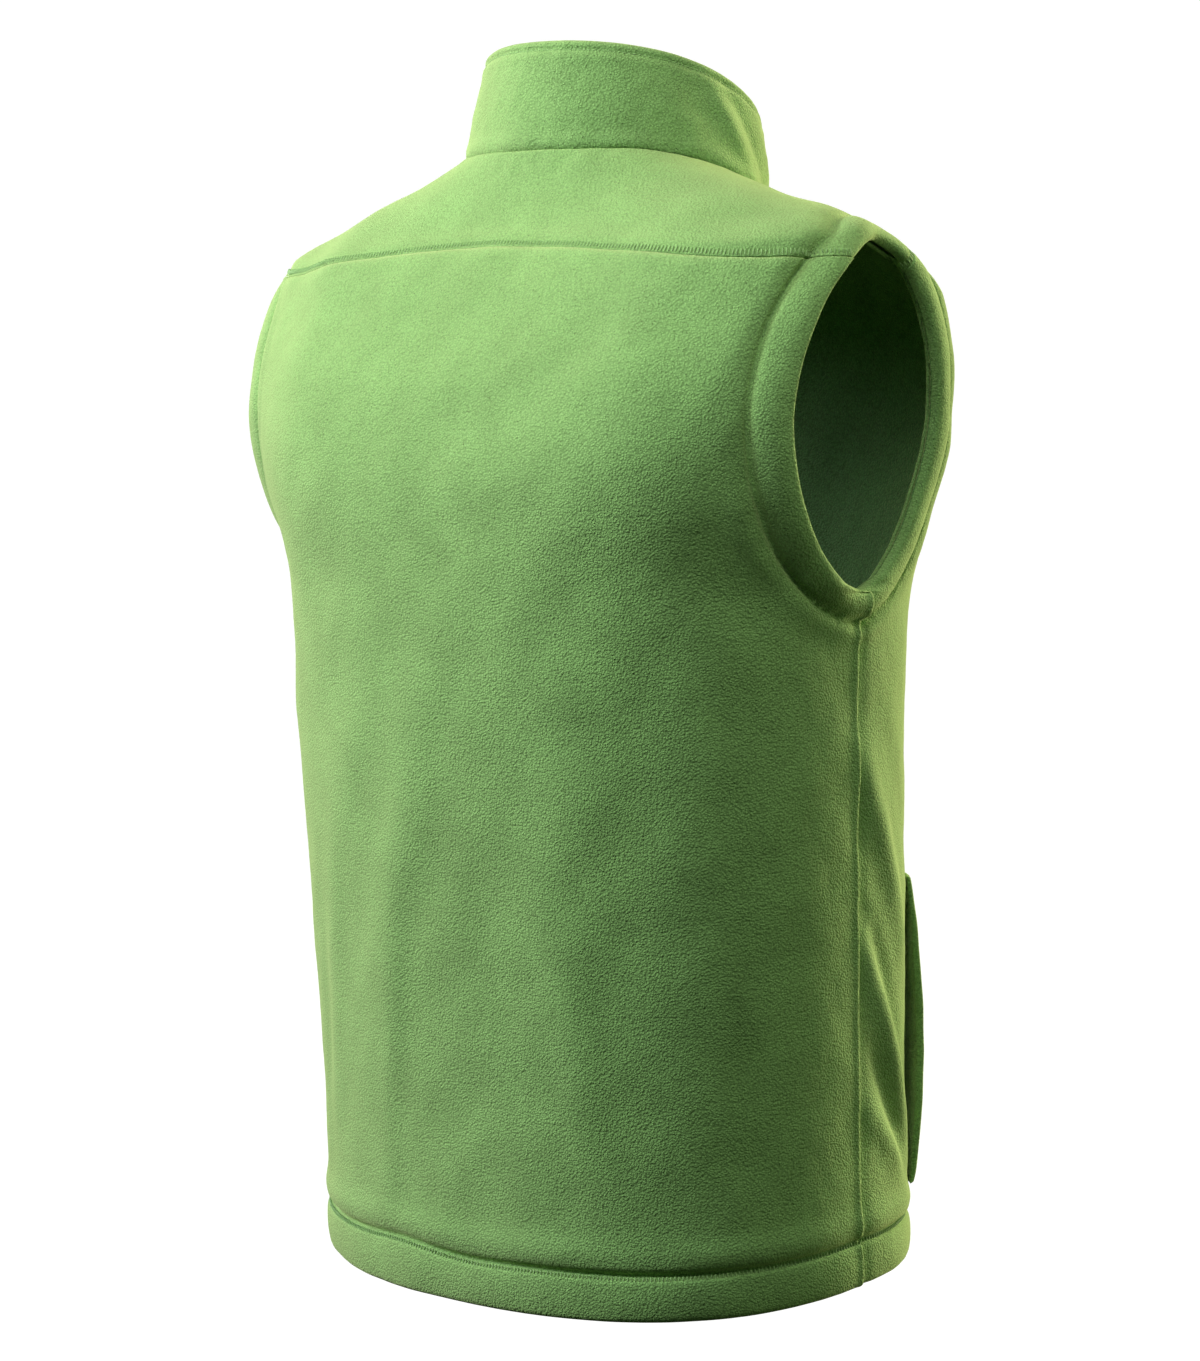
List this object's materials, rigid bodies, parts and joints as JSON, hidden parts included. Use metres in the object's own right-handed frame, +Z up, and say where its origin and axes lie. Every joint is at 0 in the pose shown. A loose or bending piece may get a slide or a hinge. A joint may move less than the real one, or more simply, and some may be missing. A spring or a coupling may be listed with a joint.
{
  "type": "fleece vest",
  "caption": "Sleeveless fleece vest with a stand collar, full front zip, back yoke, side hand pockets and stitched hem, filled out as worn with nobody in it.",
  "frame": {"origin": "middle of the line over the shoulders at the foot of the neck, in the open middle of the neck hole", "axes": "+Z up towards the collar; +Y towards the vest's back; +X towards the wearer's left"},
  "size_m": [0.4306, 0.301, 0.7401],
  "materials": {
    "fleece": "soft napped fleece, matt",
    "fleece_inside": "inner side of the fleece, matt",
    "pocket_cloth": "thin knitted pocket cloth, matt",
    "zip_tape": "woven tape",
    "zip_teeth": "satin moulded plastic",
    "zip_metal": "satin cast metal"
  },
  "bodies": {
    "garment": {"back_panel": "fleece", "back_yoke": "fleece", "front_left": "fleece", "front_right": "fleece", "collar": "fleece", "armhole_facing_back_left": "fleece_inside", "armhole_facing_front_left": "fleece_inside", "pocket_welt_left": "fleece", "pocket_bag_left": "pocket_cloth", "zip_tape_left": "zip_tape", "zip_teeth_left": "zip_teeth", "zip_stop_left": "zip_teeth", "armhole_facing_back_right": "fleece_inside", "armhole_facing_front_right": "fleece_inside", "pocket_welt_right": "fleece", "pocket_bag_right": "pocket_cloth", "zip_tape_right": "zip_tape", "zip_teeth_right": "zip_teeth", "zip_stop_right": "zip_teeth", "zip_retainer": "zip_teeth", "zip_slider": "zip_metal"},
    "pull_tab": {"zip_pull": "zip_metal"}
  },
  "joints": [
    {"name": "pull_tab_swing", "type": "hinge", "parent": "garment", "child": "pull_tab", "pos_m": [0, -0.1102, 0.0016], "axis": [-1, 0, 0], "range_deg": [0, 160]}
  ]
}
